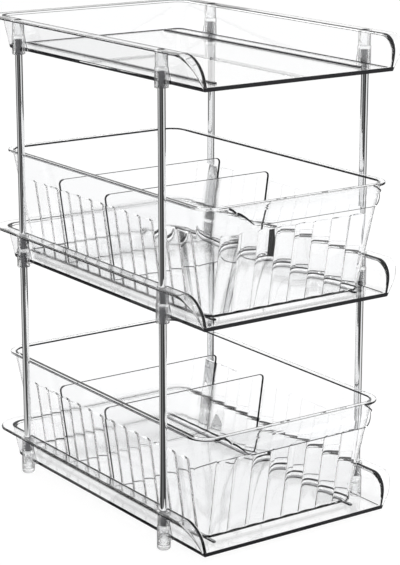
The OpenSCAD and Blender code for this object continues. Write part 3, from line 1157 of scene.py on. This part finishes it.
    def pull(self) -> bpy.types.Object:
        """The curved sheet in front of the lip, drawn out row by row and given its thickness."""
        deselect()
        front = -self.depth / 2
        place = (0, front + self.lip / 4, self.height - FUSE / 8)
        bpy.ops.mesh.primitive_plane_add(size=1.0, location=place)
        obj = bpy.context.object
        obj.name = "bin_pull"
        obj.scale = (2 * self.pull_top, self.lip / 2, 1)
        bpy.ops.object.transform_apply(location=True, rotation=True, scale=True)
        edit(obj)
        pick_edges(obj, lambda m, d: m.y < front + NEAR and abs(d.x) > 0.9)
        reach = drop = 0.0
        half = self.pull_top
        for new_reach, new_drop, new_half in self.pull_rows():
            push((0, reach - new_reach, drop - new_drop))
            bpy.ops.transform.resize(value=(new_half / half, 1, 1), center_override=(0, 0, 0))
            reach, drop, half = new_reach, new_drop, new_half
        bpy.ops.mesh.select_all(action="SELECT")
        bpy.ops.mesh.normals_make_consistent(inside=False)
        leave()
        thick = obj.modifiers.new("thickness", "SOLIDIFY")
        thick.thickness = self.pull_thick
        thick.offset = -1
        thick.use_even_offset = True
        bpy.ops.object.modifier_apply(modifier=thick.name)
        return obj

    def model(self) -> bpy.types.Object:
        """Builds one whole bin about the origin, with its underside at z = 0."""
        tub = self.tub()
        for row in self.reed_rows():
            combine(tub, row, Join.FUSE)
        combine(tub, self.pull(), Join.FUSE)
        smooth(tub)
        return tub

    def is_painted_dark_line(self, c: Vector, n: Vector) -> bool:
        """Whether a face gets painted shade as a dark line at an edge, on the bin at the origin."""
        front = -self.depth / 2
        before = c.y < front - NEAR
        top = c.z > self.height - self.inner_line
        outward = n.x * c.x + n.y * c.y
        inner = top and outward < 0 and abs(n.z) < 0.93 and not before
        beyond = max(abs(c.x) - self.width / 2, abs(c.y) - self.depth / 2) > -self.lip_round - NEAR
        outer = top and beyond and 0.1 < n.z < 0.93 and not before
        heel = c.z < self.heel and -0.93 < n.z < -0.35
        pull_end = before and abs(n.x) > 0.5
        pull_root = front - self.root_line < c.y < front and n.z > 0.3
        pull_foot = c.y < front - self.pull_reach * 0.7 and n.z < -0.9
        return inner or outer or heel or pull_end or pull_root or pull_foot

    def is_painted_grey_line(self, c: Vector, n: Vector) -> bool:
        """Whether a face gets painted shade as a grey line on the lip's outer side, on the bin at the origin."""
        top = c.z > self.height - self.lip_thick - NEAR
        beyond = max(abs(c.x) - self.width / 2, abs(c.y) - self.depth / 2) > -NEAR
        return top and beyond and abs(n.z) < 0.5 and c.y > -self.depth / 2

    def build(self) -> None:
        """Models the bin once, copies it to each tier and dresses it."""
        model = self.model()
        # Lines that bound the bands of painted shade at the lip and the pull's root
        score(model, (0, 0, self.height - self.inner_line), Z_AXIS)
        score(model, (0, -self.depth / 2, 0), Y_AXIS)
        score(model, (0, -self.depth / 2 - self.root_line, 0), Y_AXIS)
        dress(model, REEDED, self.is_painted_grey_line, self.is_painted_dark_line)
        for node in self.nodes:
            low, high = size_of(node)
            middle = (low.x + high.x) / 2, high.y - self.depth / 2
            stand_in(copy_to(model, f"{node}_moulding", (*middle, low.z)), node)
        discard(model)


@dataclass
class Divider:
    """One clear divider: a thin tapered plate with round top corners."""

    top_round: float = 0.0045
    edge_round: float = 0.0003
    # Width of the band beside the edge that gets painted dark shade
    edge_line: float = 0.0006
    taper: float = 0.0125 / 0.0894
    nodes: tuple[str, ...] = (
        "middle_divider_front",
        "middle_divider_rear",
        "bottom_divider_front",
        "bottom_divider_rear",
    )

    def build(self) -> None:
        """Builds the four dividers."""
        for node in self.nodes:
            self.place(node)

    def place(self, node: str) -> None:
        """Builds and dresses the divider that stands for one node."""
        low, high = size_of(node)
        plate = block(f"{node}_plate", tuple(low), tuple(high))
        fall = high.z - low.z
        narrow = 1 - self.taper * fall * 2 / (high.x - low.x)
        edit(plate)
        pick_points(plate, lambda p: p.z < low.z + NEAR)
        bpy.ops.transform.resize(value=(narrow, 1, 1), center_override=(0, 0, 0))
        leave()
        soften(plate, lambda m, d: abs(d.y) > 0.9 and m.z > high.z - NEAR, self.top_round, 8)
        broad = lambda m, d: abs(d.y) < 0.1
        soften(plate, broad, self.edge_round, 2)
        edit(plate)
        pick_faces(plate, lambda c, n: abs(n.y) > 0.99)
        bpy.ops.mesh.inset(thickness=self.edge_line, depth=0)
        leave()
        smooth(plate)
        middle = (low + high) / 2
        inner = (high.x - low.x) / 4

        def painted_shade_border(c: Vector, n: Vector) -> bool:
            """Whether a face is on the divider's edge or on the narrow band beside it, which get painted dark shade.
            """
            return abs(n.y) < 0.99 or abs(c.x - middle.x) > inner or c.z > middle.z + inner

        # The edge and the band beside it get painted shade as a dark line
        dress(plate, THIN, dark=painted_shade_border)
        stand_in(plate, node)


@dataclass
class Studio:
    """The white room, its lamps and the camera."""

    camera_place: Place = (-0.8885, -1.2768, 0.5932)
    azimuth: float = radians(-35.03)
    elevation: float = radians(14.89)
    lens: float = 123.9
    floor_half: float = 3.0
    floor_glow: float = 0.85
    glow_strength: float = 1.07
    ambient: float = 0.7
    ceiling: float = 0.7
    ceiling_from: float = 0.3
    ceiling_to: float = 0.7
    screens_top: float = 0.12
    # Where each screen round the room starts, as a share of the turn from -X through -Y, and how light it is
    screens: tuple[tuple[float, float], ...] = (
        (0.0, 0.05),
        (0.089, 0.22),
        (0.136, 0.05),
        (0.283, 1.0),
        (0.378, 0.4),
        (0.422, 0.06),
        (0.858, 0.6),
        (0.986, 0.05),
    )

    def build(self) -> None:
        """Makes the floor, the world, the lamps and the camera."""
        self.floor()
        self.world()
        self.lamp("key", (-0.9, -1.1, 1.5), 0.9, 9.0)
        self.lamp("fill", (1.2, -0.5, 1.2), 0.8, 5.0)
        self.lamp("rear", (0.2, 1.3, 1.4), 0.8, 5.0)
        self.camera()
        scene = bpy.context.scene
        scene.view_settings.view_transform = "Standard"

    def screen_group(self) -> bpy.types.NodeTree:
        """The grey and white screens that stand round the room, which polished metal shows as upright stripes.

        Returns:
            A node group that turns a direction, or a place on the floor, into how light the screen there is.
        """
        name = "room_screens"
        if name in bpy.data.node_groups:
            return bpy.data.node_groups[name]
        group = bpy.data.node_groups.new(name, "ShaderNodeTree")
        group.interface.new_socket(name="Vector", in_out="INPUT", socket_type="NodeSocketVector")
        group.interface.new_socket(name="Light", in_out="OUTPUT", socket_type="NodeSocketFloat")
        nodes, links = group.nodes, group.links
        start = nodes.new("NodeGroupInput")
        end = nodes.new("NodeGroupOutput")
        parts = nodes.new("ShaderNodeSeparateXYZ")
        turn = nodes.new("ShaderNodeMath")
        turn.operation = "ARCTAN2"
        share = nodes.new("ShaderNodeMapRange")
        share.inputs["From Min"].default_value = -pi
        share.inputs["From Max"].default_value = pi
        ramp = nodes.new("ShaderNodeValToRGB")
        ramp.color_ramp.interpolation = "CONSTANT"
        points = ramp.color_ramp.elements
        while len(points) > 1:
            points.remove(points[-1])
        for number, (where, light) in enumerate(self.screens):
            point = points.new(where) if number else points[0]
            point.position = where
            point.color = (light, light, light, 1)
        links.new(start.outputs["Vector"], parts.inputs["Vector"])
        links.new(parts.outputs["Y"], turn.inputs[0])
        links.new(parts.outputs["X"], turn.inputs[1])
        links.new(turn.outputs["Value"], share.inputs["Value"])
        links.new(share.outputs["Result"], ramp.inputs["Fac"])
        links.new(ramp.outputs["Color"], end.inputs["Light"])
        return group

    def blend(
        self,
        tree: bpy.types.NodeTree,
        share: bpy.types.NodeSocket,
        plain: bpy.types.NodeSocket | float,
        other: bpy.types.NodeSocket | float,
    ) -> bpy.types.NodeSocket:
        """Goes from a plain value to another by a share from 0 to 1.

        Args:
            tree: the node tree to work in.
            share: the socket that gives the share.
            plain: the value at 0.
            other: the value at 1.

        Returns:
            The socket with the blended value.
        """
        mix = tree.nodes.new("ShaderNodeMix")
        tree.links.new(share, mix.inputs["Factor"])
        for label, value in (("A", plain), ("B", other)):
            if isinstance(value, float):
                mix.inputs[label].default_value = value
            else:
                tree.links.new(value, mix.inputs[label])
        return mix.outputs["Result"]

    def floor(self) -> None:
        """A plain white floor that keeps a soft shadow."""
        deselect()
        bpy.ops.mesh.primitive_plane_add(size=2 * self.floor_half, location=(0, 0, 0))
        floor = bpy.context.object
        floor.name = "studio_floor"
        made = bpy.data.materials.new("studio_floor")
        made.use_nodes = True
        tree = made.node_tree
        nodes, links = tree.nodes, tree.links
        shader = nodes["Principled BSDF"]
        shader.inputs["Base Color"].default_value = (0.93, 0.93, 0.93, 1)
        shader.inputs["Roughness"].default_value = 0.9
        shader.inputs["Specular IOR Level"].default_value = 0.0
        path = nodes.new("ShaderNodeLightPath")
        place = nodes.new("ShaderNodeTexCoord")
        screens = nodes.new("ShaderNodeGroup")
        screens.node_tree = self.screen_group()
        links.new(place.outputs["Object"], screens.inputs["Vector"])
        level = self.blend(tree, path.outputs["Is Glossy Ray"], self.glow_strength, screens.outputs["Light"])
        level = self.blend(tree, path.outputs["Is Transmission Ray"], level, self.glow_strength)
        glow = nodes.new("ShaderNodeEmission")
        links.new(level, glow.inputs["Strength"])
        hidden = nodes.new("ShaderNodeMath")
        hidden.operation = "MAXIMUM"
        links.new(path.outputs["Is Diffuse Ray"], hidden.inputs[0])
        links.new(path.outputs["Is Shadow Ray"], hidden.inputs[1])
        share = self.blend(tree, path.outputs["Is Glossy Ray"], self.floor_glow, 1.0)
        share = self.blend(tree, path.outputs["Is Transmission Ray"], share, self.floor_glow)
        share = self.blend(tree, hidden.outputs["Value"], share, 0.0)
        mix = nodes.new("ShaderNodeMixShader")
        links.new(share, mix.inputs["Fac"])
        links.new(shader.outputs["BSDF"], mix.inputs[1])
        links.new(glow.outputs["Emission"], mix.inputs[2])
        links.new(mix.outputs["Shader"], nodes["Material Output"].inputs["Surface"])
        floor.data.materials.append(made)

    def world(self) -> None:
        """White to the camera, with screens for polished metal and a dim ceiling behind clear plastic."""
        world = bpy.data.worlds.new("studio")
        bpy.context.scene.world = world
        world.use_nodes = True
        tree = world.node_tree
        nodes, links = tree.nodes, tree.links
        place = nodes.new("ShaderNodeTexCoord")
        path = nodes.new("ShaderNodeLightPath")
        parts = nodes.new("ShaderNodeSeparateXYZ")
        links.new(place.outputs["Generated"], parts.inputs["Vector"])
        dim = nodes.new("ShaderNodeMapRange")
        dim.interpolation_type = "SMOOTHSTEP"
        for label, value in (
            ("From Min", self.ceiling_from),
            ("From Max", self.ceiling_to),
            ("To Min", 1.0),
            ("To Max", self.ceiling),
        ):
            dim.inputs[label].default_value = value
        links.new(parts.outputs["Z"], dim.inputs["Value"])
        screens = nodes.new("ShaderNodeGroup")
        screens.node_tree = self.screen_group()
        links.new(place.outputs["Generated"], screens.inputs["Vector"])
        above = nodes.new("ShaderNodeMath")
        above.operation = "GREATER_THAN"
        above.inputs[1].default_value = self.screens_top
        links.new(parts.outputs["Z"], above.inputs[0])
        glossy = self.blend(tree, above.outputs["Value"], screens.outputs["Light"], 1.0)
        level = self.blend(tree, path.outputs["Is Camera Ray"], self.ambient, 1.0)
        level = self.blend(tree, path.outputs["Is Glossy Ray"], level, glossy)
        level = self.blend(tree, path.outputs["Is Transmission Ray"], level, dim.outputs["Result"])
        links.new(level, nodes["Background"].inputs["Strength"])
        nodes["Background"].inputs["Color"].default_value = (1, 1, 1, 1)

    def lamp(self, name: str, place: Place, size: float, power: float) -> None:
        """Adds a square soft lamp that faces the middle of the object.

        Args:
            name: the lamp's name.
            place: where it hangs.
            size: the length of its side.
            power: its power in watts.
        """
        light = bpy.data.lights.new(name, "AREA")
        light.size = size
        light.energy = power
        lamp = bpy.data.objects.new(name, light)
        bpy.context.collection.objects.link(lamp)
        lamp.location = place
        low, high = CAD_BOX
        aim = (Vector(low) + Vector(high)) / 2 - Vector(place)
        lamp.rotation_euler = aim.to_track_quat("-Z", "Y").to_euler()

    def camera(self) -> None:
        """Sets the camera at the photograph's place, looking down at the organizer's front left."""
        data = bpy.data.cameras.new("camera")
        data.lens = self.lens
        camera = bpy.data.objects.new("camera", data)
        bpy.context.collection.objects.link(camera)
        camera.location = self.camera_place
        a, e = self.azimuth, self.elevation
        ahead = Vector((-sin(a) * cos(e), cos(a) * cos(e), -sin(e)))
        camera.rotation_euler = ahead.to_track_quat("-Z", "Y").to_euler()
        bpy.context.scene.camera = camera


def main() -> None:
    """Builds the organizer's sub-assemblies and the studio round it."""
    for part in (Tray(), Rod(), Foot(), Bin(), Divider(), Studio()):
        part.build()
        log.info("built: %s", type(part).__name__)


if __name__ == "__main__":
    main()
